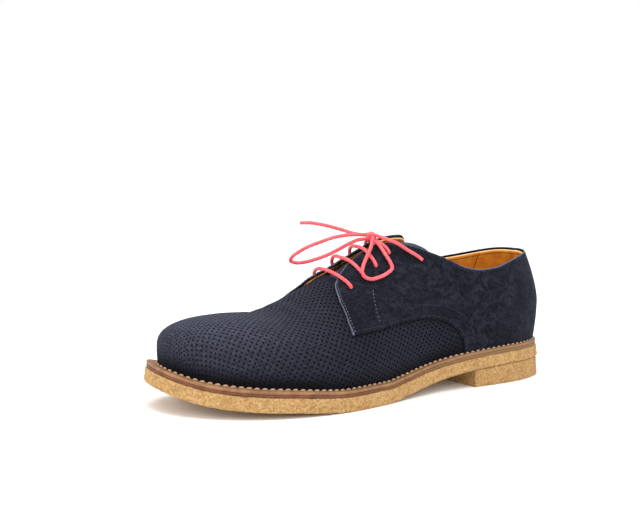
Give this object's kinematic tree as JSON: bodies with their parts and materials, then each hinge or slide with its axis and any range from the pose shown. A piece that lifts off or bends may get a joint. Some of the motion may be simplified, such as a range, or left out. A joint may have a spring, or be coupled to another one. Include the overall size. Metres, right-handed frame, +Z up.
{
  "type": "derby shoe",
  "caption": "Left derby shoe in perforated dark suede with open lacing tied in a bow, a beaded welt, and a crepe sole with a low block heel.",
  "frame": {"origin": "centre of the bounding box's underside, on the floor, measured without the bow", "axes": "+X from heel to toe, +Y to the shoe's outer side, which is the left, and +Z up"},
  "size_m": [0.2998, 0.1075, 0.1091],
  "materials": {
    "crepe": "rough golden-tan crumb, matt",
    "dark_leather": "reddish-brown cut edge",
    "welt_leather": "light brown, beaded along its edge",
    "sock_leather": "smooth warm tan",
    "suede": "dark navy suede, soft nap, vamp perforated all over",
    "suede_edge": "pale grey folded suede edge",
    "thread": "navy stitching thread",
    "waxed_lace": "coral red round lace, slight wax sheen"
  },
  "bodies": {
    "root": {"heel_block": "crepe", "outsole": "crepe", "midsole": "dark_leather", "welt": "welt_leather", "insole": "sock_leather", "upper": "suede", "tongue": "suede", "lace_bar_1": "waxed_lace", "lace_bar_2": "waxed_lace", "lace_bar_3": "waxed_lace", "lace_rise_outer": "waxed_lace", "lace_rise_inner": "waxed_lace", "lace_knot": "waxed_lace", "lace_loop_outer": "waxed_lace", "lace_loop_inner": "waxed_lace", "lace_end_outer": "waxed_lace", "lace_end_inner": "waxed_lace"}
  },
  "joints": []
}
